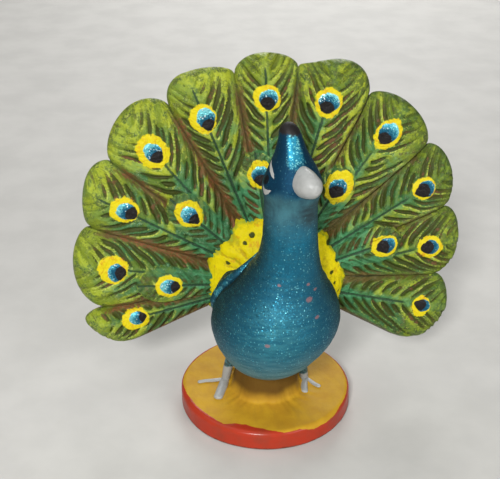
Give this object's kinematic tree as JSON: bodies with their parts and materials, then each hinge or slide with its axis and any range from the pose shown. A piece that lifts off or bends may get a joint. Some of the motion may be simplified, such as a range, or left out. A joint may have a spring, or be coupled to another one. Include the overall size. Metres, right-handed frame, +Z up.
{
  "type": "clay peacock figurine",
  "caption": "Small hand-painted clay figurine of a standing peacock with its tail raised in a round fan, cast in one with a round base.",
  "frame": {"origin": "centre of the round base's flat underside", "axes": "+Z up, the bird looks along -Y, +X to its left; the fan spreads along X and leans back towards +Y"},
  "size_m": [0.0696, 0.0329, 0.0626],
  "materials": {
    "painted_clay": "satin"
  },
  "bodies": {
    "root": {"peacock_figurine": "painted_clay"}
  },
  "joints": []
}
